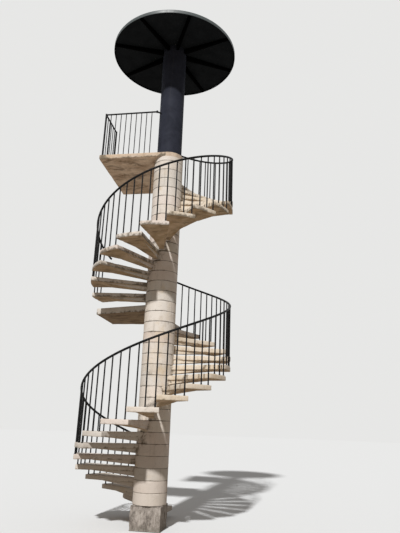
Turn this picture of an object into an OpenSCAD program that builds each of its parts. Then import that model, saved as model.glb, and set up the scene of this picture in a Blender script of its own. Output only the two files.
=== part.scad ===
// Outdoor spiral stair of stacked stone drums: cantilevered stone treads, two
// landings that run back to a wall, iron handrails and a round steel canopy.
// Millimetres, +Z up. The origin is on the stair's axis, at the foot of the base block.
// The wall stands behind at +Y and the stair climbs anticlockwise seen from above.

/* [Steps] */
// Height of one riser, and of one column drum
riser = 180; // [165:1:195]
// Steps that one full turn would hold
steps_per_turn = 18; // [17:1:20]
// Outer radius of the treads
tread_reach = 1245; // [1100:5:1400]
// Thickness of a tread
tread_t = 75; // [60:1:90]
// How far each tread runs on under the next one, along the outer edge
overlap = 48; // [20:1:80]
// Rounding of the treads' rim
nosing_r = 8; // [4:1:14]
// Chamfer along the treads' long edges
long_arris = 6; // [3:1:10]
// Radius at which the haunch under a tread begins
haunch_reach = 1015; // [700:5:1100]
// Depth of the haunch at the column, from the top of the tread
haunch_depth = 146; // [100:1:160]
// How far the haunch is set back from both long edges of its tread, as an angle
haunch_inset = 3.2; // [1:0.1:6]
// Steps from the ground to the first landing
lower_steps = 19; // [16:1:19]
// Steps from the first landing to the top landing
upper_steps = 15; // [11:1:15]
// Direction of the first step's leading edge, anticlockwise from +X
first_edge = 84.4; // [70:0.1:100]

/* [Column] */
// Radius of the column
column_r = 272; // [250:1:300]
// Chamfer along the edges of every drum
arris = 4; // [2:1:8]
// Side of the square base block
base_side = 510; // [440:5:600]

/* [Landings] */
// Distance from the axis to the wall behind the landings
wall_y = 1320; // [1250:5:1500]
// Distance from the axis to the landings' left side
side_x = 1315; // [1250:5:1500]
// Thickness of the first landing
first_t = 115; // [80:1:130]
// Thickness of the top landing
top_t = 90; // [75:1:120]

/* [Railings] */
// Radius of the helix that the handrails follow
rail_reach = 1224; // [1050:1:1380]
// Diameter of the handrails
rail_d = 36; // [28:1:48]
// Height of the handrail's middle above the leading edge of a tread
rail_h = 865; // [800:5:1000]
// Diameter of the balusters
bar_d = 22; // [14:1:24]
// Balusters on each tread
bars_per_step = 3; // [2:1:4]
// From the middle of a tread's last baluster forward to the next tread's edge
bar_inset = 14; // [13:1:30]
// How far the upper handrail runs on over the first landing
rail_lead = 130; // [0:10:200]
// Height of the top landing's rail above the landing
guard_h = 915; // [850:5:1100]
// Diameter of the top landing's rail
guard_d = 30; // [24:1:42]
// Diameter of the top landing's balusters
guard_bar_d = 16; // [12:1:20]
// Distance between the top landing's balusters
guard_pitch = 105; // [90:1:130]
// From the edges of the top landing in to the middle of its railings
guard_inset = 45; // [30:1:60]
// How far back the top landing's side rail runs, to the corner of the wall
guard_end_y = 414; // [300:2:500]

/* [Canopy] */
// Radius of the steel tube that carries the canopy
tube_r = 235; // [180:1:245]
// Wall of the tube
tube_wall = 8; // [5:1:12]
// Height of the canopy's rim above the top landing
canopy_clear = 2322; // [2100:2:2600]
// Radius of the canopy
canopy_r = 1240; // [1100:5:1400]
// Height of the canopy's rim
rim_h = 70; // [50:1:100]
// Rise of the canopy's sheet from the rim to the middle
canopy_rise = 120; // [60:1:160]
// Thickness of the canopy's sheet
sheet_t = 6; // [4:1:10]
// Number of ribs under the canopy
rib_count = 8; // [6:1:12]
// Width of a rib
rib_w = 50; // [30:1:70]
// Depth of a rib at the tube
rib_depth = 60; // [40:1:70]
// Direction of the first rib, from the right-hand side towards the wall
rib_turn = 25; // [0:1:45]

/* [Hidden] */
step_angle = 360 / steps_per_turn;
overlap_angle = overlap / tread_reach * 180 / PI;
tread_angle = step_angle + overlap_angle;
first_level = lower_steps + 1;
top_level = first_level + upper_steps + 1;
landing_edge = first_edge + lower_steps * step_angle;
landing_angle = 360 - upper_steps * step_angle;
upper_edge = landing_edge + landing_angle;
bar_pitch = step_angle / bars_per_step;
bar_back = asin(bar_inset / rail_reach);
rail_start = bar_pitch - bar_back - asin(bar_d / 2 / rail_reach);
lead_angle = rail_lead / rail_reach * 180 / PI;
top_sweep = (630 - landing_edge % 360) % 360;
base_h = 2 * riser;
top_z = top_level * riser;
rim_z = top_z + canopy_clear;
guard_y = -column_r + guard_inset;
guard_x = -side_x + guard_inset;
root_r = column_r / 2;
post_d = guard_d * 1.2;
post_over = guard_d / 2 + 4;
rim_low = rim_h / 2;
rim_r = canopy_r - sheet_t;
$fn = 96;

stone = [0.80, 0.75, 0.68];
grey_stone = [0.55, 0.54, 0.50];
iron = [0.10, 0.10, 0.11];
steel = [0.20, 0.21, 0.26];

// Directions of the leading edges of the flights' steps
function lower_start(i) = first_edge + (i - 1) * step_angle;
function upper_start(i) = upper_edge + (i - 1) * step_angle;

// A drum of the column with its edges chamfered, standing on z = 0
module drum() {
    rotate_extrude()
        polygon([
            [0, 0],
            [column_r - arris, 0],
            [column_r, arris],
            [column_r, riser - arris],
            [column_r - arris, riser],
            [0, riser]
        ]);
}

// Points of a quarter circle about [x, y], from one direction anticlockwise
function quarter(x, y, from) = [for (a = [from : 30 : from + 90]) [x, y] + nosing_r * [cos(a), sin(a)]];

// What a chamfer takes off a long edge that runs along +X, with the stone at +Y and +Z.
// It stops just short of the column.
module long_chamfer() {
    clear = 1;
    translate([column_r + arris, 0, 0])
        rotate([90, 0, 90])
            linear_extrude(tread_reach)
                polygon([
                    [-clear, -clear],
                    [long_arris + clear, -clear],
                    [-clear, long_arris + clear]
                ]);
}

// A tread's slab: it turns about the axis from its leading edge, with a rounded rim
module slab() {
    outer = tread_reach - nosing_r;
    difference() {
        rotate_extrude(angle = tread_angle, $fn = 180)
            polygon(concat(
                [[root_r, tread_t], [root_r, 0]],
                quarter(outer, nosing_r, 270),
                quarter(outer, tread_t - nosing_r, 0)
            ));
        long_chamfer();
        translate([0, 0, tread_t])
            rotate([-90, 0, 0])
                long_chamfer();
        rotate([90, 0, tread_angle])
            long_chamfer();
        translate([0, 0, tread_t])
            rotate([180, 0, tread_angle])
                long_chamfer();
    }
}

// The haunch that carries the slab: it deepens in a straight line towards the column
module haunch() {
    slope = (haunch_depth - tread_t) / (haunch_reach - column_r);
    rotate([0, 0, haunch_inset])
        rotate_extrude(angle = tread_angle - 2 * haunch_inset, $fn = 180)
            polygon([
                [haunch_reach, 0],
                [haunch_reach, tread_t / 2],
                [root_r, tread_t / 2],
                [root_r, -slope * (haunch_reach - root_r)]
            ]);
}

// The tread with its haunch, standing on the slab's underside
module tread() {
    union() {
        slab();
        haunch();
    }
}

// One step is one stone: a drum of the column and the tread that grows out of it
module step(level, start) {
    color(stone)
        translate([0, 0, (level - 1) * riser])
            rotate([0, 0, start])
                union() {
                    rotate([0, 0, 180])
                        drum();
                    translate([0, 0, riser - tread_t])
                        tread();
                }
}

// The first two steps have no drum and are let into the base block
module low_step(level) {
    color(stone)
        difference() {
            translate([0, 0, level * riser - tread_t])
                rotate([0, 0, lower_start(level)])
                    tread();
            base_body();
        }
}

module base_body() {
    translate([-base_side / 2, -base_side / 2, 0])
        cube([base_side, base_side, base_h]);
}

module base_block() {
    color(grey_stone)
        base_body();
}

// A landing with its drum: the slab between two directions, cut off by the wall behind,
// by the stair's left side and by a front edge
module landing(level, thickness, from, to, front_y) {
    far = 6 * wall_y;
    middle = (from + to) / 2;
    color(stone)
        translate([0, 0, (level - 1) * riser])
            union() {
                drum();
                translate([0, 0, riser - thickness])
                    intersection() {
                        linear_extrude(thickness)
                            polygon([
                                [0, 0],
                                far * [cos(from), sin(from)],
                                far * [cos(middle), sin(middle)],
                                far * [cos(to), sin(to)]
                            ]);
                        translate([-side_x, front_y, 0])
                            cube([2 * side_x, wall_y - front_y, thickness]);
                    }
            }
}

module first_landing() {
    landing(first_level, first_t, landing_edge, upper_edge, -wall_y);
}

module top_landing() {
    landing(top_level, top_t, landing_edge, landing_edge + top_sweep, -column_r);
}

// A round bar that follows the stair's helix between two directions
module helix_bar(radius, d, z_start, from, to) {
    sides = 12;
    part_angle = 5;
    parts = ceil((to - from) / part_angle);
    slope = atan(riser / (radius * step_angle * PI / 180));
    rings = [for (i = [0 : parts])
        let (a = from + (to - from) * i / parts)
        let (z = z_start + (a - from) / step_angle * riser)
        for (j = [0 : sides - 1])
            let (b = 360 * j / sides)
            let (out = d / 2 * cos(b), up = d / 2 * sin(b))
            [
                (radius + out) * cos(a) + up * sin(slope) * sin(a),
                (radius + out) * sin(a) - up * sin(slope) * cos(a),
                z + up * cos(slope)
            ]];
    skin = [for (i = [0 : parts - 1])
        for (j = [0 : sides - 1])
            let (k = (j + 1) % sides)
            let (low = i * sides, high = (i + 1) * sides)
            each [[low + j, high + j, low + k], [low + k, high + j, high + k]]];
    ends = [
        [for (j = [0 : sides - 1]) j],
        [for (j = [sides - 1 : -1 : 0]) parts * sides + j]
    ];
    polyhedron(points = rings, faces = concat(skin, ends));
}

// The height of a handrail's middle over a point on a tread, with the tread's own level
function rail_z(level, turn) = level * riser + rail_h + turn / step_angle * riser;

// The balusters of one flight, each a round bar from the tread up into the handrail.
// The last one of a tread stands close in front of the next tread and passes up beside it.
module balusters(count, level, start) {
    for (i = [0 : count - 1])
        for (j = [1 : bars_per_step]) {
            turn = j * bar_pitch - bar_back;
            foot = (level + i) * riser;
            rotate([0, 0, start + i * step_angle + turn])
                translate([rail_reach, 0, foot])
                    cylinder(h = rail_z(level + i, turn) - foot - rail_d / 4, d = bar_d);
        }
}

// It starts at the first step's first baluster
module lower_handrail() {
    color(iron)
        helix_bar(rail_reach, rail_d, rail_z(1, rail_start), first_edge + rail_start, landing_edge);
}

// It starts over the first landing
module upper_handrail() {
    color(iron)
        helix_bar(rail_reach, rail_d, rail_z(first_level + 1, -lead_angle),
            upper_edge - lead_angle, landing_edge + 360);
}

module lower_balusters() {
    color(iron)
        balusters(lower_steps, 1, first_edge);
}

module upper_balusters() {
    color(iron)
        balusters(upper_steps, first_level + 1, upper_edge);
}

// A straight railing along +X from the middle of its post: a rail and evenly spaced balusters
module rail_panel(length) {
    count = round(length / guard_pitch);
    cylinder(h = guard_h + post_over, d = post_d);
    translate([0, 0, guard_h])
        rotate([0, 90, 0])
            cylinder(h = length, d = guard_d);
    for (i = [1 : count - 1])
        translate([i * length / count, 0, 0])
            cylinder(h = guard_h, d = guard_bar_d);
}

// Along the top landing's front edge from the corner post. At an upright knuckle close to the
// tube the rail turns and runs into the tube.
module front_railing() {
    length = -guard_x - tube_r;
    color(iron)
        translate([guard_x, guard_y, top_z]) {
            rail_panel(length);
            translate([length, 0, guard_h]) {
                cylinder(h = 2 * post_over, d = post_d, center = true);
                rotate([0, 90, atan2(-guard_y, tube_r)])
                    cylinder(h = norm([tube_r, guard_y]) - tube_r + tube_wall / 2, d = guard_d);
            }
        }
}

// Along the top landing's left edge, from the wall's corner forward to the corner post
module side_railing() {
    color(iron)
        translate([guard_x, guard_end_y, top_z])
            rotate([0, 0, -90])
                rail_panel(guard_end_y - guard_y - post_d / 2);
}

// Height of the canopy sheet's underside over the foot of its rim
function roof_z(radius) = rim_low + canopy_rise * (1 - radius / rim_r);

// The tube stands on a foot plate on the top landing and meets the canopy's sheet
module canopy_tube() {
    height = canopy_clear + roof_z(tube_r);
    color(steel)
        translate([0, 0, top_z])
            difference() {
                cylinder(h = height, r = tube_r);
                translate([0, 0, sheet_t])
                    cylinder(h = height, r = tube_r - tube_wall);
            }
}

// Ribs that rise with the canopy's sheet and deepen towards the tube
module canopy_ribs() {
    play = 1;
    color(steel)
        translate([0, 0, rim_z])
            for (i = [0 : rib_count - 1])
                rotate([0, 0, rib_turn + i * 360 / rib_count])
                    translate([0, rib_w / 2, 0])
                        rotate([90, 0, 0])
                            linear_extrude(rib_w)
                                polygon([
                                    [tube_r, roof_z(tube_r) - rib_depth],
                                    [rim_r - play, 0],
                                    [rim_r - play, roof_z(rim_r)],
                                    [tube_r, roof_z(tube_r)]
                                ]);
}

// The canopy's rim and its shallow cone of sheet
module canopy_roof() {
    color(steel)
        translate([0, 0, rim_z])
            rotate_extrude()
                polygon([
                    [0, roof_z(0)],
                    [rim_r, rim_low],
                    [rim_r, 0],
                    [canopy_r, 0],
                    [canopy_r, rim_h],
                    [rim_r, rim_h],
                    [rim_r, rim_low + sheet_t],
                    [0, roof_z(0) + sheet_t]
                ]);
}

module lower_step_01() {
    low_step(1);
}
module lower_step_02() {
    low_step(2);
}
module lower_step_03() {
    step(3, lower_start(3));
}
module lower_step_04() {
    step(4, lower_start(4));
}
module lower_step_05() {
    step(5, lower_start(5));
}
module lower_step_06() {
    step(6, lower_start(6));
}
module lower_step_07() {
    step(7, lower_start(7));
}
module lower_step_08() {
    step(8, lower_start(8));
}
module lower_step_09() {
    step(9, lower_start(9));
}
module lower_step_10() {
    step(10, lower_start(10));
}
module lower_step_11() {
    step(11, lower_start(11));
}
module lower_step_12() {
    step(12, lower_start(12));
}
module lower_step_13() {
    step(13, lower_start(13));
}
module lower_step_14() {
    step(14, lower_start(14));
}
module lower_step_15() {
    step(15, lower_start(15));
}
module lower_step_16() {
    step(16, lower_start(16));
}
module lower_step_17() {
    step(17, lower_start(17));
}
module lower_step_18() {
    step(18, lower_start(18));
}
module lower_step_19() {
    step(19, lower_start(19));
}
module upper_step_01() {
    step(first_level + 1, upper_start(1));
}
module upper_step_02() {
    step(first_level + 2, upper_start(2));
}
module upper_step_03() {
    step(first_level + 3, upper_start(3));
}
module upper_step_04() {
    step(first_level + 4, upper_start(4));
}
module upper_step_05() {
    step(first_level + 5, upper_start(5));
}
module upper_step_06() {
    step(first_level + 6, upper_start(6));
}
module upper_step_07() {
    step(first_level + 7, upper_start(7));
}
module upper_step_08() {
    step(first_level + 8, upper_start(8));
}
module upper_step_09() {
    step(first_level + 9, upper_start(9));
}
module upper_step_10() {
    step(first_level + 10, upper_start(10));
}
module upper_step_11() {
    step(first_level + 11, upper_start(11));
}
module upper_step_12() {
    step(first_level + 12, upper_start(12));
}
module upper_step_13() {
    step(first_level + 13, upper_start(13));
}
module upper_step_14() {
    step(first_level + 14, upper_start(14));
}
module upper_step_15() {
    step(first_level + 15, upper_start(15));
}

base_block();
lower_step_01();
lower_step_02();
lower_step_03();
lower_step_04();
lower_step_05();
lower_step_06();
lower_step_07();
lower_step_08();
lower_step_09();
lower_step_10();
lower_step_11();
lower_step_12();
lower_step_13();
lower_step_14();
lower_step_15();
lower_step_16();
lower_step_17();
lower_step_18();
lower_step_19();
first_landing();
upper_step_01();
upper_step_02();
upper_step_03();
upper_step_04();
upper_step_05();
upper_step_06();
upper_step_07();
upper_step_08();
upper_step_09();
upper_step_10();
upper_step_11();
upper_step_12();
upper_step_13();
upper_step_14();
upper_step_15();
top_landing();
lower_handrail();
lower_balusters();
upper_handrail();
upper_balusters();
front_railing();
side_railing();
canopy_tube();
canopy_ribs();
canopy_roof();
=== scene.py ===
"""Looks of the outdoor spiral stair: stone steps on a drum column, two landings, iron
handrails and a round steel canopy. Metres, +Z up, the stair's axis is the Z axis."""
import math
import random
import bmesh
import bpy
from mathutils import Matrix, Vector, noise


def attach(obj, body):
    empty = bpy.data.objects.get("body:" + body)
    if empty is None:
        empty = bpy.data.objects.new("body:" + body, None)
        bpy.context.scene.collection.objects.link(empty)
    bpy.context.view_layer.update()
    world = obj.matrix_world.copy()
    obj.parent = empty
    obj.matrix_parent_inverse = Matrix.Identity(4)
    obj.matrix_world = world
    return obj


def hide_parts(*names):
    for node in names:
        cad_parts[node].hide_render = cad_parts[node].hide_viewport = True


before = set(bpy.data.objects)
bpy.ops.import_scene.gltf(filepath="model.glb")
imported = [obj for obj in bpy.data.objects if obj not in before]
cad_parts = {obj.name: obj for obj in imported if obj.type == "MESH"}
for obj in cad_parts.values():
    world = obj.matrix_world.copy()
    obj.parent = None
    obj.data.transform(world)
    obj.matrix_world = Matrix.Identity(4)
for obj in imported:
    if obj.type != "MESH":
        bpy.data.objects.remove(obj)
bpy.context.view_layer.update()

# Main sizes, as the part's source gives them, but for RIB_DEPTH
RISER = 0.18
STEP_ANGLE = math.radians(20)
REACH = 1.245
TREAD = 0.075
OVERLAP = 0.048
TREAD_ANGLE = STEP_ANGLE + OVERLAP / REACH
COLUMN = 0.272
ARRIS = 0.004
# Radius at which the slabs and haunches begin, inside the column
ROOT = 0.2
HAUNCH_REACH = 1.015
HAUNCH_DEPTH = 0.146
HAUNCH_SLOPE = (HAUNCH_DEPTH - TREAD) / (HAUNCH_REACH - COLUMN)
HAUNCH_INSET = math.radians(3.2)
BASE = 0.51
BASE_H = 2 * RISER
FIRST_EDGE = math.radians(84.4)
LOWER, UPPER = 19, 15
LANDING_EDGE = FIRST_EDGE + LOWER * STEP_ANGLE
UPPER_EDGE = LANDING_EDGE + 2 * math.pi - UPPER * STEP_ANGLE
FIRST_LEVEL = LOWER + 1
TOP_LEVEL = FIRST_LEVEL + UPPER + 1
TOP_Z = TOP_LEVEL * RISER
WALL_Y = 1.32
SIDE_X = 1.315
FIRST_T = 0.115
TOP_T = 0.09
RAIL_R = 1.224
RAIL_D = 0.036
RAIL_H = 0.865
BAR_D = 0.022
BAR_INSET = 0.014
BARS = 3
BAR_PITCH = STEP_ANGLE / BARS
BAR_BACK = math.asin(BAR_INSET / RAIL_R)
RAIL_START = BAR_PITCH - BAR_BACK - math.asin(BAR_D / 2 / RAIL_R)
RAIL_LEAD = 0.13 / RAIL_R
GUARD_INSET = 0.045
GUARD_Y = -COLUMN + GUARD_INSET
GUARD_X = -SIDE_X + GUARD_INSET
GUARD_END = 0.414
GUARD_POST = 0.036
GUARD_BAR = 0.016
GUARD_PITCH = 0.105
TUBE_R = 0.235
CANOPY_R = 1.24
CANOPY_RISE = 0.12
SHEET = 0.006
CANOPY_CLEAR = 2.322
RIM_Z = TOP_Z + CANOPY_CLEAR
RIM_H = 0.07
RIBS = 8
RIB_W = 0.05
# Deeper than the solid's 60 mm, as the photo shows the ribs
RIB_DEPTH = 0.1
RIB_TURN = math.radians(25)
# How far the slabs end short of the solids, so that no dressed tread reaches past the box
SLAB_SHORT = 0.0004
# How far the balusters' shoes are sunk into the stone
SHOE_SUNK = 0.002
GUARD_SHOE_SUNK = 0.003

# Colours that the stones share
# The first colour darkens the stone where the mesh marks it: grime, and painted shade in the
# creases by the column
GRIME_AND_SHADE = (0.115, 0.092, 0.062)
JOINT = (0.085, 0.066, 0.05)
DUST = (0.43, 0.37, 0.31)
OCHRE = (0.62, 0.475, 0.29)
BLEACHED = (0.78, 0.74, 0.68)

# Wear of the stone: reach of a broken edge, and the most that it is let in
TREAD_CHIP = 0.008
LANDING_CHIP = 0.009
DRUM_CHIP = 0.007
BLOCK_CHIP = 0.028
CHIP_MOST = 0.013
DRUM_CHIP_MOST = 0.01
# The hollow that feet have worn into a tread: its radius and depth
WALK_R = 0.86
WALK_HOLLOW = 0.0045
# Soft edges of the landings, and the pitch of their grid
LANDING_SOFT = 0.009
LANDING_PITCH = 0.032
# The base block: soft edge, pitch of its grid, how far in its faces lie and how rough they are
BLOCK_SOFT = 0.014
BLOCK_PITCH = 0.019
BLOCK_IN = 0.015
BLOCK_ROUGH = 0.024

# Light, floor and camera
SUN_STRENGTH = 3.7
SUN_COLOUR = (1.0, 0.988, 0.97)
SUN_SPREAD = math.radians(2.5)
SUN_FROM = Vector((-0.053, -0.753, 0.656))
SKY_LIGHT = ((1.0, 0.95, 0.90), 0.27)
SKY_SEEN = ((0.80, 0.80, 0.79), 1.0)
FLOOR_LIGHT = ((0.34, 0.30, 0.25), None)
FLOOR_SEEN = ((0.785, 0.803, 0.817), None)
FLOOR_RADIUS = 70
SENSOR = 36
PICTURE_HEIGHT = 533
FOCAL_PIXELS = 507.8
CAMERA_PLACE = (2.0925, -8.5600, 1.5901)
# The camera's own X, Y and Z in the stair's frame
CAMERA_AXES = ((0.987723, 0.152712, 0.032886), (0.014255, -0.297747, 0.954539),
               (0.155561, -0.942351, -0.296268))


# ---- Materials

class Shader:
    """A material under construction, with short calls for the nodes used here."""

    def __init__(self, name):
        self.material = bpy.data.materials.new(name)
        self.material.use_nodes = True
        self.tree = self.material.node_tree
        self.tree.nodes.clear()
        out = self.add("ShaderNodeOutputMaterial")
        self.bsdf = self.add("ShaderNodeBsdfPrincipled")
        self.tree.links.new(self.bsdf.outputs["BSDF"], out.inputs["Surface"])
        self.coords = self.add("ShaderNodeTexCoord").outputs["Object"]

    def add(self, kind, **settings):
        node = self.tree.nodes.new(kind)
        for key, value in settings.items():
            setattr(node, key, value)
        return node

    def put(self, socket, value):
        """Sets a socket to a number or colour, or links it to another socket."""
        if isinstance(value, bpy.types.NodeSocket):
            self.tree.links.new(value, socket)
        elif socket.type == "RGBA":
            socket.default_value = (*value, 1)
        else:
            socket.default_value = value

    def fill(self, node, values):
        """Sets several sockets of a node."""
        for key, value in values.items():
            self.put(node.inputs[key], value)

    def finish(self, colour, roughness, normal, gloss):
        self.fill(self.bsdf, {"Base Color": colour, "Roughness": roughness,
                              "Normal": normal, "Specular IOR Level": gloss})
        return self.material

    def stretch(self, scale=(1, 1, 1), place=(0, 0, 0)):
        """Coordinates that are scaled and shifted."""
        node = self.add("ShaderNodeMapping")
        self.fill(node, {"Vector": self.coords, "Scale": scale, "Location": place})
        return node.outputs["Vector"]

    def noise(self, scale, detail=4.0, rough=0.55, at=None, bend=0.0):
        node = self.add("ShaderNodeTexNoise")
        self.fill(node, {"Vector": at or self.coords, "Scale": scale, "Detail": detail,
                         "Roughness": rough, "Distortion": bend})
        return node.outputs["Fac"]

    def cells(self, scale, feature="DISTANCE_TO_EDGE", at=None):
        node = self.add("ShaderNodeTexVoronoi", feature=feature)
        self.fill(node, {"Vector": at or self.coords, "Scale": scale})
        return node.outputs["Distance"]

    def ramp(self, value, low, high, first=0.0, last=1.0):
        """Maps a value from low..high softly to first..last, held at the ends."""
        node = self.add("ShaderNodeMapRange", interpolation_type="SMOOTHSTEP")
        self.fill(node, {"Value": value, "From Min": low, "From Max": high,
                         "To Min": first, "To Max": last})
        return node.outputs["Result"]

    def math(self, kind, a, b=0.0):
        node = self.add("ShaderNodeMath", operation=kind)
        self.put(node.inputs[0], a)
        self.put(node.inputs[1], b)
        return node.outputs[0]

    def mix(self, share, a, b):
        node = self.add("ShaderNodeMix", data_type="RGBA")
        self.put(node.inputs["Factor"], share)
        self.put(node.inputs[6], a)
        self.put(node.inputs[7], b)
        return node.outputs[2]

    def attribute(self, name):
        return self.add("ShaderNodeAttribute", attribute_name=name).outputs["Fac"]

    def height(self):
        """Height over the ground."""
        axes = self.add("ShaderNodeSeparateXYZ")
        self.put(axes.inputs[0], self.coords)
        return axes.outputs[2]

    def bump(self, height, strength, distance):
        node = self.add("ShaderNodeBump")
        self.fill(node, {"Height": height, "Strength": strength, "Distance": distance})
        return node.outputs["Normal"]


def dim(colour, share):
    """A darker or lighter tone of a colour."""
    return tuple(c * share for c in colour)


def limestone(name, pale, warm, stain, shift=0.0):
    """Sawn, weathered limestone: clouds, ochre and grey stains, run-off streaks, specks,
    grime and painted shade where the mesh marks them, dark ragged joints between the drums,
    and dust that is thickest near the ground."""
    s = Shader(name)
    place = (shift, shift * 0.7, shift * 0.3)
    at = s.stretch(place=place)
    clouds = s.noise(2.3, 5, 0.6, at, 0.6)
    patches = s.noise(7.5, 5, 0.62, at)
    specks = s.noise(52, 4, 0.68, at)
    grain = s.noise(210, 3, 0.7, at)
    colour = s.mix(s.ramp(clouds, 0.38, 0.66), pale, warm)
    ochre = s.noise(1.6, 5, 0.62, s.stretch(place=(7.3, shift, 2.9)), 0.5)
    colour = s.mix(s.ramp(ochre, 0.54, 0.74, 0, 0.6), colour, OCHRE)
    colour = s.mix(s.ramp(patches, 0.52, 0.76, 0, 0.6), colour, stain)
    colour = s.mix(s.ramp(specks, 0.57, 0.74, 0, 0.42), colour, dim(stain, 0.5))
    colour = s.mix(s.ramp(specks, 0.42, 0.3, 0, 0.35), colour, BLEACHED)
    colour = s.mix(s.ramp(grain, 0.35, 0.75, 0, 0.25), colour, dim(stain, 0.55))
    streaks = s.noise(1.0, 5, 0.65, s.stretch((15, 15, 1.2), place))
    colour = s.mix(s.ramp(streaks, 0.55, 0.78, 0, 0.45), colour, dim(stain, 0.6))
    veins = s.cells(2.9, at=s.stretch((1, 1, 2.6), place))
    veins = s.math("ADD", veins, s.ramp(patches, 0.3, 0.8, -0.02, 0.05))
    colour = s.mix(s.ramp(veins, 0.0, 0.014, 0.14, 0), colour, dim(stain, 0.45))
    spots = s.noise(24, 5, 0.65, at, 0.3)
    # The mesh's mark, broken up by patches and spots, mixes in the dark colour: grime, and painted
    # shade at the creases
    grime_and_shade = s.math("ADD", s.attribute("grime_and_shade"), s.ramp(patches, 0.25, 0.75, -0.4, 0.4))
    grime_and_shade = s.math("ADD", grime_and_shade, s.ramp(spots, 0.32, 0.68, -0.25, 0.25))
    colour = s.mix(s.ramp(grime_and_shade, 0.35, 1.05, 0, 0.85), colour, GRIME_AND_SHADE)
    axes = s.add("ShaderNodeSeparateXYZ")
    s.put(axes.inputs[0], s.coords)
    x, y, z = axes.outputs
    radius = s.math("SQRT", s.math("ADD", s.math("MULTIPLY", x, x), s.math("MULTIPLY", y, y)))
    width = s.ramp(patches, 0.32, 0.68, 0.0045, 0.012)
    seam = s.ramp(s.math("PINGPONG", z, RISER / 2), s.math("MULTIPLY", width, 0.35), width, 0.75, 0)
    seam = s.math("MULTIPLY", seam, s.ramp(radius, COLUMN + 0.003, COLUMN + 0.01, 1, 0))
    colour = s.mix(seam, colour, JOINT)
    dust = s.math("ADD", z, s.ramp(patches, 0.3, 0.7, -0.15, 0.15))
    colour = s.mix(s.ramp(dust, 0.3, 1.7, 0.5, 0), colour, DUST)
    pits = s.ramp(s.cells(85, "F1", at), 0.10, 0.32)
    relief = s.math("MULTIPLY", s.noise(60, 5, 0.65, at), 0.7)
    relief = s.math("ADD", relief, s.math("MULTIPLY", pits, 0.35))
    roughness = s.ramp(grain, 0.2, 0.8, 0.74, 0.93)
    return s.finish(colour, roughness, s.bump(relief, 0.6, 0.0018), gloss=0.35)


def shaded_soffit(name, light, brown, dark):
    """An underside: rougher stone that no rain washes, browned by damp and dust, and darker and
    browner still with painted shade and warm bounce light.
    """
    s = Shader(name)
    clouds = s.noise(3.4, 5, 0.65, bend=0.7)
    patches = s.noise(6.5, 7, 0.68, s.stretch((0.6, 1.35, 1.0)), 0.3)
    marks = s.noise(1.0, 4, 0.6, s.stretch((1.8, 20, 20)))
    grain = s.noise(150, 3, 0.7)
    colour = s.mix(s.ramp(clouds, 0.38, 0.64), light, brown)
    colour = s.mix(s.ramp(patches, 0.49, 0.66, 0, 0.85), colour, dark)
    colour = s.mix(s.ramp(patches, 0.46, 0.32, 0, 0.7), colour, dim(light, 1.15))
    colour = s.mix(s.ramp(marks, 0.54, 0.72, 0, 0.22), colour, dim(dark, 0.8))
    colour = s.mix(s.ramp(grain, 0.35, 0.75, 0, 0.3), colour, dim(dark, 0.5))
    height = s.math("ADD", s.noise(38, 5, 0.65), s.math("MULTIPLY", grain, 0.35))
    return s.finish(colour, 0.92, s.bump(height, 0.6, 0.003), gloss=0.25)


def rough_stone(name):
    """Rough-hewn grey stone of the base block, with tool marks, darker towards its foot."""
    s = Shader(name)
    clouds = s.noise(5.0, 5, 0.65, bend=0.8)
    blots = s.noise(1.0, 6, 0.7, s.stretch((15, 15, 6)))
    grooves = s.noise(1.0, 5, 0.65, s.stretch((42, 42, 7)))
    spots = s.cells(60, "F1")
    grain = s.noise(170, 3, 0.7)
    colour = s.mix(s.ramp(clouds, 0.35, 0.68), (0.42, 0.375, 0.34), (0.245, 0.213, 0.188))
    colour = s.mix(s.ramp(blots, 0.5, 0.62, 0, 0.75), colour, (0.105, 0.09, 0.078))
    colour = s.mix(s.ramp(blots, 0.46, 0.36, 0, 0.55), colour, (0.58, 0.535, 0.485))
    colour = s.mix(s.ramp(grooves, 0.54, 0.68, 0, 0.55), colour, (0.16, 0.14, 0.12))
    colour = s.mix(s.ramp(spots, 0.1, 0.5, 0.3, 0), colour, (0.52, 0.49, 0.44))
    colour = s.mix(s.ramp(grain, 0.35, 0.75, 0, 0.35), colour, (0.10, 0.09, 0.075))
    foot = s.math("ADD", s.height(), s.ramp(clouds, 0.3, 0.7, -0.05, 0.05))
    colour = s.mix(s.ramp(foot, 0.02, 0.12, 0.45, 0), colour, (0.10, 0.09, 0.07))
    height = s.math("ADD", s.math("MULTIPLY", grooves, 0.8), s.math("MULTIPLY", grain, 0.3))
    height = s.math("ADD", height, s.math("MULTIPLY", blots, 0.8))
    return s.finish(colour, 0.94, s.bump(height, 0.9, 0.01), gloss=0.3)


def painted_iron(name):
    """Satin black paint over forged iron, with dull and rusty specks."""
    s = Shader(name)
    wear = s.noise(9, 5, 0.7, bend=0.4)
    specks = s.noise(120, 4, 0.7)
    rust = s.math("MULTIPLY", s.ramp(specks, 0.6, 0.7), s.ramp(wear, 0.5, 0.66))
    colour = s.mix(s.ramp(wear, 0.35, 0.7), (0.0045, 0.0045, 0.0052), (0.010, 0.0095, 0.0095))
    colour = s.mix(s.math("MULTIPLY", rust, 0.8), colour, (0.10, 0.04, 0.018))
    height = s.math("ADD", s.noise(75, 4, 0.6), s.math("MULTIPLY", specks, 0.3))
    roughness = s.ramp(wear, 0.3, 0.7, 0.42, 0.6)
    return s.finish(colour, roughness, s.bump(height, 0.35, 0.0009), gloss=0.12)


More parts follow.
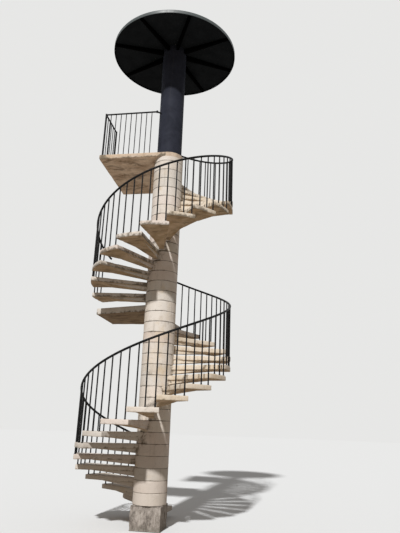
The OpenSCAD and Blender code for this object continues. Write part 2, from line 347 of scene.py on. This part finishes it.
def painted_steel(name, colour, dusty, roughness, gloss):
    """Rolled steel under dark paint, faintly uneven, with dust and run-off marks."""
    s = Shader(name)
    wear = s.noise(4, 5, 0.65, bend=0.5)
    runs = s.noise(1.0, 4, 0.6, s.stretch((22, 22, 1.1)))
    specks = s.noise(140, 3, 0.7)
    paint = s.mix(s.ramp(wear, 0.35, 0.68), colour, dim(colour, 0.72))
    paint = s.mix(s.ramp(runs, 0.55, 0.8, 0, 0.3), paint, dusty)
    paint = s.mix(s.ramp(specks, 0.62, 0.8, 0, 0.25), paint, dusty)
    height = s.math("ADD", s.noise(7, 3, 0.5), s.math("MULTIPLY", specks, 0.08))
    worn = s.ramp(wear, 0.3, 0.7, roughness, roughness + 0.14)
    return s.finish(paint, worn, s.bump(height, 0.25, 0.002), gloss)


SAWN = [
    limestone("limestone_pale",
              (0.72, 0.668, 0.615), (0.68, 0.61, 0.54), (0.51, 0.445, 0.38)),
    limestone("limestone_cream",
              (0.72, 0.645, 0.55), (0.68, 0.575, 0.445), (0.50, 0.41, 0.31), 3.1),
    limestone("limestone_rose",
              (0.71, 0.645, 0.595), (0.66, 0.57, 0.51), (0.50, 0.425, 0.37), 6.4),
    limestone("limestone_grey",
              (0.65, 0.61, 0.562), (0.61, 0.55, 0.487), (0.45, 0.40, 0.345), 9.2),
]
STAINED = limestone("limestone_stained",
                    (0.62, 0.515, 0.43), (0.56, 0.43, 0.31), (0.38, 0.27, 0.175), 12.7)
# Undersides take darker, browner stone than the tops: dust, and painted shade with warm bounce
# light
SHADED_SOFFIT = shaded_soffit("limestone_soffit_painted_shade",
                (0.58, 0.445, 0.31), (0.42, 0.30, 0.185), (0.19, 0.14, 0.088))
# The first landing's underside: painted deep shade, darker than the other undersides
DEEP_SHADE_SOFFIT = shaded_soffit("first_landing_soffit_painted_shade",
                     (0.34, 0.245, 0.152), (0.225, 0.148, 0.084), (0.10, 0.065, 0.037))
# The top landing's underside: lighter and pinker, painted warm bounce light
ROSE_BOUNCE_LIT_SOFFIT = shaded_soffit("top_landing_soffit_painted_bounce_light",
                     (0.86, 0.70, 0.56), (0.62, 0.46, 0.335), (0.22, 0.15, 0.10))
ROUGH = rough_stone("grey_block_stone")
IRON = painted_iron("iron_black_paint")
TUBE = painted_steel("steel_tube_paint",
                     (0.029, 0.032, 0.046), (0.058, 0.057, 0.062), 0.6, 0.04)
SHEET_PAINT = painted_steel("steel_sheet_underside",
                            (0.018, 0.0215, 0.0265), (0.034, 0.036, 0.039), 0.6, 0.0)
RIB_PAINT = painted_steel("steel_rib_paint",
                          (0.0025, 0.0025, 0.003), (0.005, 0.005, 0.005), 0.7, 0.0)
RIM = painted_steel("steel_rim_paint",
                    (0.045, 0.058, 0.06), (0.12, 0.12, 0.118), 0.42, 0.6)
ROOF = painted_steel("steel_roof_paint",
                     (0.115, 0.135, 0.137), (0.24, 0.235, 0.22), 0.66, 0.15)


# ---- Mesh helpers

def in_order(bm):
    """Sorts a bmesh, since the order that Blender's tools leave isn't the same each run."""
    for elements, key in ((bm.verts, lambda v: tuple(v.co)),
                          (bm.edges, lambda e: sorted(v.index for v in e.verts)),
                          (bm.faces, lambda f: sorted(v.index for v in f.verts))):
        for i, element in enumerate(sorted(elements, key=key)):
            element.index = i
        elements.sort()


def finish_piece(name, bm, materials, nodes=(), sharp=38):
    """Makes the bmesh an object at the origin that rides on the stair."""
    bmesh.ops.recalc_face_normals(bm, faces=bm.faces[:])
    in_order(bm)
    mesh = bpy.data.meshes.new(name)
    bm.to_mesh(mesh)
    bm.free()
    for material in materials:
        mesh.materials.append(material)
    mesh.polygons.foreach_set("use_smooth", [True] * len(mesh.polygons))
    mesh.set_sharp_from_angle(angle=math.radians(sharp))
    piece = bpy.data.objects.new(name, mesh)
    bpy.context.scene.collection.objects.link(piece)
    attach(piece, "root")
    if nodes:
        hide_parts(*nodes)
    return piece


def cut_grid(bm, axis, places):
    """Cuts the whole mesh by planes across one axis."""
    normal = [0, 0, 0]
    normal[axis] = 1
    for place in places:
        point = [0, 0, 0]
        point[axis] = place
        bmesh.ops.bisect_plane(bm, geom=bm.verts[:] + bm.edges[:] + bm.faces[:],
                               plane_co=point, plane_no=normal, dist=1e-6)


def soften(bm, edges, size, segments=2):
    """Rounds edges with a small bevel."""
    bmesh.ops.bevel(bm, geom=edges, offset=size, segments=segments, profile=0.5,
                    affect="EDGES", material=-1)


def block(size, soft, pitch):
    """A closed block from the origin with soft edges, its faces cut into a grid."""
    bm = bmesh.new()
    verts = bmesh.ops.create_cube(bm, size=1.0)["verts"]
    bmesh.ops.translate(bm, verts=verts, vec=(0.5, 0.5, 0.5))
    bmesh.ops.scale(bm, verts=verts, vec=size)
    soften(bm, bm.edges[:], soft)
    for axis in range(3):
        count = max(1, round(size[axis] / pitch[axis]))
        cut_grid(bm, axis, [size[axis] * i / count for i in range(1, count)])
    return bm


def lathe(profile, segments):
    """A turned form about Z from a profile of (radius, height)."""
    bm = bmesh.new()
    verts = [bm.verts.new((r, 0, z)) for r, z in profile]
    edges = [bm.edges.new(pair) for pair in zip(verts, verts[1:])]
    bmesh.ops.spin(bm, geom=verts + edges, cent=(0, 0, 0), axis=(0, 0, 1), angle=2 * math.pi,
                   steps=segments, use_merge=True)
    bmesh.ops.remove_doubles(bm, verts=bm.verts[:], dist=1e-6)
    return bm


def template(bm):
    """Keeps a form as a mesh that add_template can use many times."""
    mesh = bpy.data.meshes.new("template")
    bm.to_mesh(mesh)
    bm.free()
    return mesh


def add_template(bm, mesh, shape, material=0):
    """Adds a template to the bmesh. The shape function gives each vertex its place and its mark of
    grime and painted shade.
    """
    layer = bm.verts.layers.float.get("grime_and_shade") or bm.verts.layers.float.new("grime_and_shade")
    old_verts, old_faces = set(bm.verts), set(bm.faces)
    bm.from_mesh(mesh)
    for v in bm.verts:
        if v not in old_verts:
            v.co, v[layer] = shape(v.co.copy())
    faces = [f for f in bm.faces if f not in old_faces]
    for f in faces:
        f.material_index = material
    return faces


def mark_undersides(faces):
    """Gives faces that look down the second material, the underside stone with its painted shade.
    """
    for f in faces:
        f.normal_update()
        if f.normal.z < -0.7:
            f.material_index = 1


def chip(point, seed, reach, keep=0.3, scale=11.0):
    """How deep a worn or broken edge is let in at a point."""
    value = noise.noise(point * scale + seed)
    fine = noise.noise(point * scale * 4.3 + seed)
    return max(0.0, value - keep) * reach * 3.2 + max(0.0, fine - 0.1) * reach * 0.3


def seeded(number):
    """A place in the noise and a dice of its own for each stone."""
    dice = random.Random(number * 7 + 11)
    return Vector([dice.uniform(-40, 40) for _ in range(3)]), dice


# ---- The steps: flat templates, X is the radius and Y runs along the tread's arc

SLAB_L = REACH - ROOT - SLAB_SHORT
SLAB_W = REACH * TREAD_ANGLE
EDGE = 0.008
HAUNCH_W = 0.36
HAUNCH_UP = 0.02
slab_mesh = template(block((SLAB_L, SLAB_W, TREAD), EDGE, (0.0265, 0.0255, 0.026)))
haunch_mesh = template(block((HAUNCH_REACH - ROOT, HAUNCH_W, 1.0), 0.012, (0.04, 0.045, 0.25)))
drum_rows = [ARRIS, 0.012, 0.03, 0.06, 0.09, 0.12, 0.15, RISER - 0.012, RISER - ARRIS]
drum_profile = ([(0, 0), (0.13, 0), (COLUMN - ARRIS, 0)] + [(COLUMN, z) for z in drum_rows]
                + [(COLUMN - ARRIS, RISER), (0.13, RISER), (0, RISER)])
drum_mesh = template(lathe(drum_profile, 84))


def fan(x, y, width, angle, soft, inset=0.0):
    """Bends flat (x, y) into a sector, whose soft edges keep their width at every radius."""
    radius = ROOT + x
    arc = radius * (angle - 2 * inset)
    if y <= soft:
        along = y
    elif y >= width - soft:
        along = arc - (width - y)
    else:
        along = soft + (y - soft) * (arc - 2 * soft) / (width - 2 * soft)
    return radius, inset + along / radius


def polar(radius, angle, z):
    """A point from its radius, its direction from +X and its height."""
    return Vector((radius * math.cos(angle), radius * math.sin(angle), z))


def slab_shape(level, start, seed, dirt, spots):
    """Shape of a tread's slab: broken edges, a worn top, grime below, and painted shade at the root
    by the column.
    """
    base = level * RISER - TREAD

    def shape(p):
        near_y = min(p.y, SLAB_W - p.y)
        near_z = min(p.z, TREAD - p.z)
        edges = (SLAB_L - p.x < EDGE * 1.05) + (near_y < EDGE * 1.05) + (near_z < EDGE * 1.05)
        radius, turn = fan(p.x, p.y, SLAB_W, TREAD_ANGLE, EDGE)
        place = polar(radius, start + turn, base + p.z)
        if edges > 1 and p.x > 0.09:
            depth = min(CHIP_MOST, chip(place, seed, TREAD_CHIP))
            middle = polar(max(COLUMN, radius - 0.1), start + TREAD_ANGLE / 2, base + TREAD / 2)
            inward = middle - place
            inward.z *= 6
            place += inward.normalized() * depth
        elif p.z > TREAD - 1e-4:
            # The walking line is worn a little hollow behind the leading edge
            walk = math.exp(-((radius - WALK_R) / 0.2) ** 2) * math.exp(-((p.y - 0.1) / 0.12) ** 2)
            place.z -= WALK_HOLLOW * walk + 0.001 * noise.noise(place * 9 + seed)
        elif p.z < 1e-4:
            place.z += 0.0022 * noise.noise(place * 8 + seed)
        else:
            place *= 1 - 0.0009 * noise.noise(place * 14 + seed)
        low = dirt * max(0.0, 1 - p.z / (TREAD * 0.5))
        low += spots if p.z < TREAD - 1e-4 else 0
        # Painted shade where the slab meets the column, put into the grime mark
        root = 0.6 * math.exp(-max(0.0, radius - COLUMN) / 0.04)
        return place, min(1.0, low + root)
    return shape


def haunch_shape(level, start, seed):
    """Shape of the haunch, which thins out from the column to its tip."""
    low = level * RISER - TREAD

    def shape(p):
        radius, turn = fan(p.x, p.y, HAUNCH_W, TREAD_ANGLE, 0.012, HAUNCH_INSET)
        foot = low - HAUNCH_SLOPE * (HAUNCH_REACH - radius)
        place = polar(radius, start + turn, foot + (low + HAUNCH_UP - foot) * p.z)
        if p.z < 0.5:
            place.z += noise.noise(place * 9 + seed) * 0.003
        # Painted shade under the slab, put into the grime mark: darkest by the column and at the
        # haunch's foot
        return place, 0.75 * math.exp(-max(0.0, radius - COLUMN) / 0.05) + 0.3 * (1 - p.z)
    return shape


def drum_shape(level, seed, start):
    """Shape of a drum, uneven and chipped, with grime at its joints and painted shade by its tread.
    """
    base = (level - 1) * RISER

    def shape(p):
        radius = math.hypot(p.x, p.y)
        angle = math.atan2(p.y, p.x) + seed.x
        joint = min(p.z, RISER - p.z)
        if radius > COLUMN - 0.02:
            at = polar(COLUMN, angle, base + p.z)
            wave, ripple = noise.noise(at * 4 + seed), noise.noise(at * 15 + seed)
            radius += wave * 0.0016 + ripple * 0.0008 - 0.0014
            if joint < ARRIS * 1.5:
                radius -= min(DRUM_CHIP_MOST, chip(at, seed, DRUM_CHIP, 0.22, 16))
        # Painted shade on the drum by and under its tread, put into the grime mark
        turned = (angle - start - TREAD_ANGLE / 2 + math.pi) % (2 * math.pi)
        away = abs(turned - math.pi) - TREAD_ANGLE / 2
        root = 0.46 * math.exp(-max(0.0, away) * COLUMN / 0.07)
        return polar(radius, angle, base + p.z), min(1.0, 0.5 * math.exp(-joint / 0.014) + root)
    return shape


def stone_step(name, level, start, drum=True):
    """One step: its drum of the column, the tread's slab and the haunch under it. Treads on
    the right are creamier, and those of the upper flight dirtier, most of all at the front."""
    seed, dice = seeded(level)
    facing = math.cos(start + TREAD_ANGLE / 2)
    dirt = dice.uniform(0.4, 0.65) - 0.25 * facing
    front = max(0.0, -math.sin(start + TREAD_ANGLE / 2))
    upper = level > FIRST_LEVEL
    dirt += 0.3 * (1 + 0.7 * front) * upper
    tone = 1 if facing > 0.35 else dice.choice((0, 0, 2, 3))
    drum_tone = dice.choice((0, 0, 2, 2, 3))
    bm = bmesh.new()
    slab = slab_shape(level, start, seed, dirt, (0.3 + 0.2 * front) * upper)
    mark_undersides(add_template(bm, slab_mesh, slab))
    mark_undersides(add_template(bm, haunch_mesh, haunch_shape(level, start, seed)))
    if drum:
        add_template(bm, drum_mesh, drum_shape(level, seed, start), 2)
    return finish_piece("stone_" + name, bm, [SAWN[tone], SHADED_SOFFIT, SAWN[drum_tone]], [name])


def landing(name, level, thickness, outline, tone, under):
    """A landing's slab with its drum, soft-edged and chipped, its underside uneven."""
    seed = seeded(level)[0]
    base = level * RISER - thickness
    bm = bmesh.new()
    below, above = ([bm.verts.new((x, y, z)) for x, y in outline] for z in (base, base + thickness))
    bm.faces.new(below)
    bm.faces.new(above)
    for i in range(len(outline)):
        bm.faces.new((below[i - 1], below[i], above[i], above[i - 1]))
    bmesh.ops.recalc_face_normals(bm, faces=bm.faces[:])
    in_order(bm)
    soften(bm, bm.edges[:], LANDING_SOFT)
    in_order(bm)
    for axis in (0, 1):
        low = min(v.co[axis] for v in bm.verts)
        high = max(v.co[axis] for v in bm.verts)
        count = round((high - low) / LANDING_PITCH)
        cut_grid(bm, axis, [low + (high - low) * i / count for i in range(1, count)])
    cut_grid(bm, 2, [base + thickness * s for s in (0.3, 0.5, 0.7)])
    bm.normal_update()
    layer = bm.verts.layers.float.new("grime_and_shade")
    for v in bm.verts:
        height = (v.co.z - base) / thickness
        flat = Vector((v.normal.x, v.normal.y, 0)).length
        # Dirtiest at the front left corner and along the left side
        corner = 1.1 * math.exp(-((v.co - Vector((-SIDE_X, -COLUMN, v.co.z))).length / 0.13) ** 2)
        corner += 0.5 * math.exp(-(v.co.x + SIDE_X) / 0.025)
        # Painted shade by the column, put into the grime mark; the slab's edges also get darker
        # towards the bottom
        root = 0.7 * math.exp(-max(0.0, math.hypot(v.co.x, v.co.y) - COLUMN) / 0.05)
        v[layer] = min(1.0, 0.85 * max(0.0, 1 - height / 0.6) + corner + root)
        if flat > 0.2 and v.co.y < WALL_Y - 0.02 and abs(height - 0.5) > 0.38:
            v.co -= v.normal * min(CHIP_MOST, chip(v.co, seed, LANDING_CHIP))
        elif height < 1e-3:
            v.co.z += noise.noise(v.co * 5 + seed) * 0.004
        elif height > 1 - 1e-3:
            v.co.z -= (1 + noise.noise(v.co * 6 + seed)) * 0.001
    mark_undersides(bm.faces)
    # The top landing's drum shows over the slab's base in the slab's own stone
    for f in add_template(bm, drum_mesh, drum_shape(level, seed, math.pi), 2):
        if level == TOP_LEVEL and f.calc_center_median().z > base:
            f.material_index = 0
    return finish_piece("stone_" + name, bm, [tone, under, SAWN[0]], [name])


def hewn_base():
    """The base block: rock-faced sides with a rough margin, the top dressed flatter."""
    seed = seeded(99)[0]
    bm = block((BASE, BASE, BASE_H), BLOCK_SOFT, (BLOCK_PITCH,) * 3)
    bm.normal_update()
    moved = []
    for v in bm.verts:
        p = v.co.copy()
        side = 1.0 if abs(v.normal.z) < 0.7 else 0.3
        edge = sorted((min(p.x, BASE - p.x), min(p.y, BASE - p.y), min(p.z, BASE_H - p.z)))[1]
        lump = (noise.noise(p * 7 + seed) * 0.5 + noise.noise(p * 19 + seed) * 0.3
                + noise.noise(p * 47 + seed) * 0.16)
        facet = noise.cell(p * 13 + seed) * 0.25
        depth = BLOCK_IN - BLOCK_ROUGH * (lump + facet) * min(1, 0.35 + edge / 0.05)
        if edge < BLOCK_SOFT + 0.002:
            depth += chip(p, seed, BLOCK_CHIP, 0.14, 12)
        moved.append((v, p - v.normal * max(0.0, depth) * side))
    for v, place in moved:
        v.co = place
    bmesh.ops.translate(bm, verts=bm.verts[:], vec=(-BASE / 2, -BASE / 2, 0))
    return finish_piece("stone_base_block", bm, [ROUGH], ["base_block"], sharp=50)


for i in range(1, LOWER + 1):
    stone_step("lower_step_%02d" % i, i, FIRST_EDGE + (i - 1) * STEP_ANGLE, drum=i > 2)
for i in range(1, UPPER + 1):
    stone_step("upper_step_%02d" % i, FIRST_LEVEL + i, UPPER_EDGE + (i - 1) * STEP_ANGLE)

BACK = (WALL_Y / math.tan(LANDING_EDGE), WALL_Y)
CORNER = (-SIDE_X, WALL_Y)
landing("first_landing", FIRST_LEVEL, FIRST_T,
        [(0, 0), BACK, CORNER, (-SIDE_X, -SIDE_X * math.tan(UPPER_EDGE))], SAWN[3], DEEP_SHADE_SOFFIT)
landing("top_landing", TOP_LEVEL, TOP_T,
        [(0, 0), BACK, CORNER, (-SIDE_X, -COLUMN), (0, -COLUMN)], STAINED, ROSE_BOUNCE_LIT_SOFFIT)
hewn_base()


# ---- The iron

def dome(bm, edges, middle, direction, radius, rows=4):
    """Closes the end of a bar with half a ball."""
    for k in range(1, rows + 1):
        before, now = (math.radians(90 * j / (rows + 0.6)) for j in (k - 1, k))
        made = bmesh.ops.extrude_edge_only(bm, edges=edges)["geom"]
        verts = [g for g in made if isinstance(g, bmesh.types.BMVert)]
        edges = [g for g in made
                 if isinstance(g, bmesh.types.BMEdge) and all(v in verts for v in g.verts)]
        bmesh.ops.translate(bm, verts=verts,
                            vec=direction * radius * (math.sin(now) - math.sin(before)))
        share = math.cos(now) / math.cos(before)
        bmesh.ops.scale(bm, verts=verts, vec=(share,) * 3, space=Matrix.Translation(-middle))
    bmesh.ops.edgeloop_fill(bm, edges=edges)


def handrail(name, level, edge, first, last):
    """A round rail on the stair's helix with domed ends. Its turns count from the edge."""
    bm = bmesh.new()
    lean = math.atan(RISER / (RAIL_R * STEP_ANGLE))
    radius = RAIL_D / 2
    room = radius / RAIL_R

    def place(turn):
        out = polar(1, edge + turn, 0)
        along = Vector((-out.y * math.cos(lean), out.x * math.cos(lean), math.sin(lean)))
        height = level * RISER + RAIL_H + turn / STEP_ANGLE * RISER
        return out * RAIL_R + Vector((0, 0, height)), out, along

    middle, out, along = place(first + room)
    matrix = Matrix((out, along.cross(out), along)).transposed().to_4x4()
    matrix.translation = middle
    ring = bmesh.ops.create_circle(bm, cap_ends=False, radius=radius, segments=24,
                                   matrix=matrix)["verts"]
    start = list({e for v in ring for e in v.link_edges})
    turned = last - first - 2 * room
    steps = round(math.degrees(turned) / 2.5)
    end = bmesh.ops.spin(bm, geom=ring + start, cent=(0, 0, 0), axis=(0, 0, 1), angle=turned,
                         steps=steps, dvec=(0, 0, turned / STEP_ANGLE * RISER / steps))["geom_last"]
    dome(bm, start, middle, -along, radius)
    middle, out, along = place(last - room)
    dome(bm, [g for g in end if isinstance(g, bmesh.types.BMEdge)], middle, along, radius)
    return finish_piece(name + "_round", bm, [IRON], [name], sharp=60)


handrail("lower_handrail", 1, FIRST_EDGE, RAIL_START, LOWER * STEP_ANGLE)
handrail("upper_handrail", FIRST_LEVEL + 1, UPPER_EDGE, -RAIL_LEAD, UPPER * STEP_ANGLE)


def shoe(bar):
    """The low turned shoe at a baluster's foot."""
    r = bar / 2
    profile = [(0, 0), (r + 0.007, 0), (r + 0.007, 0.003), (r + 0.003, 0.008),
               (r + 0.001, 0.012), (0, 0.012)]
    return template(lathe(profile, 12))


def shoes(name, mesh, feet):
    """One piece with a shoe at each foot."""
    bm = bmesh.new()
    for foot in feet:
        add_template(bm, mesh, lambda p, foot=foot: (p + foot, 0.0))
    return finish_piece(name, bm, [IRON])


def flight_feet(count, level, start):
    """Where the balusters of a flight stand, a little sunk into the treads."""
    return [polar(RAIL_R - 0.0005, start + i * STEP_ANGLE + j * BAR_PITCH - BAR_BACK,
                  (level + i) * RISER - SHOE_SUNK)
            for i in range(count) for j in range(1, BARS + 1)]


flight_shoe = shoe(BAR_D)
shoes("lower_baluster_shoes", flight_shoe, flight_feet(LOWER, 1, FIRST_EDGE))
shoes("upper_baluster_shoes", flight_shoe, flight_feet(UPPER, FIRST_LEVEL + 1, UPPER_EDGE))

GUARD_FRONT = -GUARD_X - TUBE_R
GUARD_SIDE = GUARD_END - GUARD_Y - GUARD_POST / 2
FRONT_COUNT, SIDE_COUNT = round(GUARD_FRONT / GUARD_PITCH), round(GUARD_SIDE / GUARD_PITCH)
GUARD_FOOT = TOP_Z - GUARD_SHOE_SUNK
shoes("guard_baluster_shoes", shoe(GUARD_BAR),
      [Vector((GUARD_X + GUARD_FRONT * i / FRONT_COUNT, GUARD_Y, GUARD_FOOT))
       for i in range(1, FRONT_COUNT)]
      + [Vector((GUARD_X, GUARD_END - GUARD_SIDE * i / SIDE_COUNT, GUARD_FOOT))
         for i in range(1, SIDE_COUNT)])


# ---- The canopy

def roof_z(radius):
    """Height of the sheet's underside over the rim's foot."""
    return RIM_H / 2 + CANOPY_RISE * (1 - radius / (CANOPY_R - SHEET))


def canopy_disc():
    """The sheet's shallow cone, its rim with rolled edges, lap seams and a cap in the middle."""
    wall = CANOPY_R - SHEET
    bead = 0.005
    roll = [(CANOPY_R - bead - bead * math.cos(a), bead - bead * math.sin(a))
            for a in (math.radians(d) for d in range(0, 181, 30))]
    under = [(0.0, roof_z(0.1)), (0.1, roof_z(0.1)), (0.5, roof_z(0.5)), (0.9, roof_z(0.9)),
             (wall - 0.004, roof_z(wall)), (wall, roof_z(wall) - 0.004)]
    rim = [(r, RIM_H - z) for r, z in reversed(roll)]
    top = [(wall, roof_z(wall) + SHEET + 0.004), (wall - 0.004, roof_z(wall) + SHEET),
           (0.9, roof_z(0.9) + SHEET), (0.5, roof_z(0.5) + SHEET), (0.1, roof_z(0.1) + SHEET),
           (0.098, roof_z(0.1) + SHEET + 0.005), (0.0, roof_z(0.1) + SHEET + 0.006)]
    bm = lathe(under + roll + rim + top, 144)
    bm.normal_update()
    bmesh.ops.recalc_face_normals(bm, faces=bm.faces[:])
    for f in bm.faces:
        middle = f.calc_center_median()
        radius = math.hypot(middle.x, middle.y)
        above = middle.z > roof_z(radius) + 0.003
        f.material_index = 1 if radius > wall + 0.003 else 2 if above else 0
    bmesh.ops.translate(bm, verts=bm.verts[:], vec=(0, 0, RIM_Z))
    seam_mesh = template(block((1.0, 0.026, 0.003), 0.001, (0.25, 0.026, 0.003)))
    head_mesh = template(lathe([(0, 0), (0.006, 0), (0.0045, 0.0025), (0, 0.0035)], 8))
    for k in range(2 * RIBS):
        turn = RIB_TURN + math.pi * (k + 0.5) / RIBS

        def on_top(x, y, z, turn=turn):
            radius = 0.12 + x * (wall - 0.16)
            place = polar(radius, turn, RIM_Z + roof_z(radius) + SHEET + z)
            return place + Vector((-math.sin(turn), math.cos(turn), 0)) * y

        add_template(bm, seam_mesh, lambda p: (on_top(p.x, p.y - 0.013, p.z - 0.0005), 0.0), 2)
        for j in range(12):
            place = on_top((j + 0.5) / 12, 0, 0.002)
            add_template(bm, head_mesh, lambda p, place=place: (place + p, 0.0), 2)
    return finish_piece("canopy_sheet_and_rim", bm, [SHEET_PAINT, RIM, ROOF],
                        ["canopy_roof"])


def canopy_frame():
    """The ribs, soft-edged, which rise with the sheet and deepen towards the tube."""
    bm = bmesh.new()
    outer = CANOPY_R - SHEET - 0.002
    rib_mesh = template(block((1, RIB_W, 1), 0.004, (0.25, 0.05, 1)))
    for k in range(RIBS):
        turn = RIB_TURN + 2 * math.pi * k / RIBS

        def shape(p, turn=turn):
            radius = TUBE_R - 0.002 + p.x * (outer - TUBE_R)
            share = (radius - TUBE_R) / (outer - TUBE_R)
            low = (roof_z(TUBE_R) - RIB_DEPTH) * (1 - share)
            z = low + (roof_z(radius) + 0.001 - low) * p.z
            place = polar(radius, turn, RIM_Z + z)
            return place + Vector((-math.sin(turn), math.cos(turn), 0)) * (p.y - RIB_W / 2), 0.0

        add_template(bm, rib_mesh, shape)
    return finish_piece("canopy_rib_frame", bm, [RIB_PAINT], ["canopy_ribs"])


def tube_foot():
    """The flange that holds the tube on the top drum, with bolts, and the weld above it."""
    bm = bmesh.new()
    inner, outer, thick = TUBE_R - 0.004, COLUMN - 0.009, 0.012
    ring = [(inner, 0), (outer - 0.001, 0), (outer, 0.001), (outer, thick - 0.002),
            (outer - 0.002, thick), (TUBE_R + 0.008, thick), (TUBE_R + 0.003, thick + 0.003),
            (TUBE_R - 0.001, thick + 0.01), (inner, thick + 0.01)]
    foot = Vector((0, 0, TOP_Z - 0.0008))
    add_template(bm, template(lathe(ring + ring[:1], 96)), lambda p: (p + foot, 0.0))
    bolt = template(lathe([(0, 0), (0.0085, 0), (0.0085, 0.006), (0.0072, 0.0075), (0, 0.0075)], 6))
    for k in range(12):
        place = polar((TUBE_R + outer) / 2 + 0.003, math.radians(30 * k + 15),
                      TOP_Z + thick - 0.001)
        add_template(bm, bolt, lambda p, place=place: (p + place, 0.0))
    return finish_piece("canopy_tube_flange", bm, [TUBE])


canopy_disc()
canopy_frame()
tube_foot()


# ---- Finishes of the nodes that stay as the frame has them

def finish_node(node, material):
    """Gives a node of the frame its material."""
    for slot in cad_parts[node].material_slots:
        slot.material = material


for node in ("lower_balusters", "upper_balusters", "front_railing", "side_railing"):
    finish_node(node, IRON)
finish_node("canopy_tube", TUBE)


# ---- Floor, light and camera

def camera_mix(tree, kind, hidden, seen):
    """Mixes two shaders: the second is what the camera, gloss and glass see."""
    share = tree.nodes.new("ShaderNodeMixShader")
    path = tree.nodes.new("ShaderNodeLightPath").outputs
    either = path["Is Camera Ray"]
    for ray in ("Is Glossy Ray", "Is Transmission Ray"):
        larger = tree.nodes.new("ShaderNodeMath")
        larger.operation = "MAXIMUM"
        tree.links.new(either, larger.inputs[0])
        tree.links.new(path[ray], larger.inputs[1])
        either = larger.outputs[0]
    tree.links.new(either, share.inputs[0])
    for slot, (colour, strength) in ((1, hidden), (2, seen)):
        node = tree.nodes.new(kind)
        node.inputs["Color"].default_value = (*colour, 1)
        if strength is not None:
            node.inputs["Strength"].default_value = strength
        tree.links.new(node.outputs[0], share.inputs[slot])
    return share.outputs[0]


def studio():
    """The floor, the sky, the sun and the camera, which stands where the photo was taken."""
    bm = bmesh.new()
    bmesh.ops.create_circle(bm, cap_ends=True, radius=FLOOR_RADIUS, segments=96)
    mesh = bpy.data.meshes.new("floor")
    bm.to_mesh(mesh)
    bm.free()
    material = bpy.data.materials.new("pale_floor")
    material.use_nodes = True
    tree = material.node_tree
    tree.nodes.clear()
    out = tree.nodes.new("ShaderNodeOutputMaterial")
    tree.links.new(camera_mix(tree, "ShaderNodeBsdfDiffuse", FLOOR_LIGHT, FLOOR_SEEN),
                   out.inputs["Surface"])
    mesh.materials.append(material)
    floor = bpy.data.objects.new("floor", mesh)
    bpy.context.scene.collection.objects.link(floor)

    world = bpy.data.worlds.new("studio")
    bpy.context.scene.world = world
    world.use_nodes = True
    tree = world.node_tree
    tree.nodes.clear()
    out = tree.nodes.new("ShaderNodeOutputWorld")
    tree.links.new(camera_mix(tree, "ShaderNodeBackground", SKY_LIGHT, SKY_SEEN),
                   out.inputs["Surface"])

    lamp = bpy.data.lights.new("key", "SUN")
    lamp.energy = SUN_STRENGTH
    lamp.color = SUN_COLOUR
    lamp.angle = SUN_SPREAD
    key = bpy.data.objects.new("key", lamp)
    key.rotation_euler = SUN_FROM.to_track_quat("Z", "Y").to_euler()
    bpy.context.scene.collection.objects.link(key)

    lens = bpy.data.cameras.new("camera")
    lens.sensor_fit = "AUTO"
    lens.sensor_width = SENSOR
    lens.lens = FOCAL_PIXELS * SENSOR / PICTURE_HEIGHT
    camera = bpy.data.objects.new("camera", lens)
    axes = Matrix(CAMERA_AXES).transposed()
    camera.matrix_world = Matrix.Translation(CAMERA_PLACE) @ axes.to_4x4()
    bpy.context.scene.collection.objects.link(camera)
    bpy.context.scene.camera = camera
    bpy.context.scene.view_settings.view_transform = "Standard"


studio()
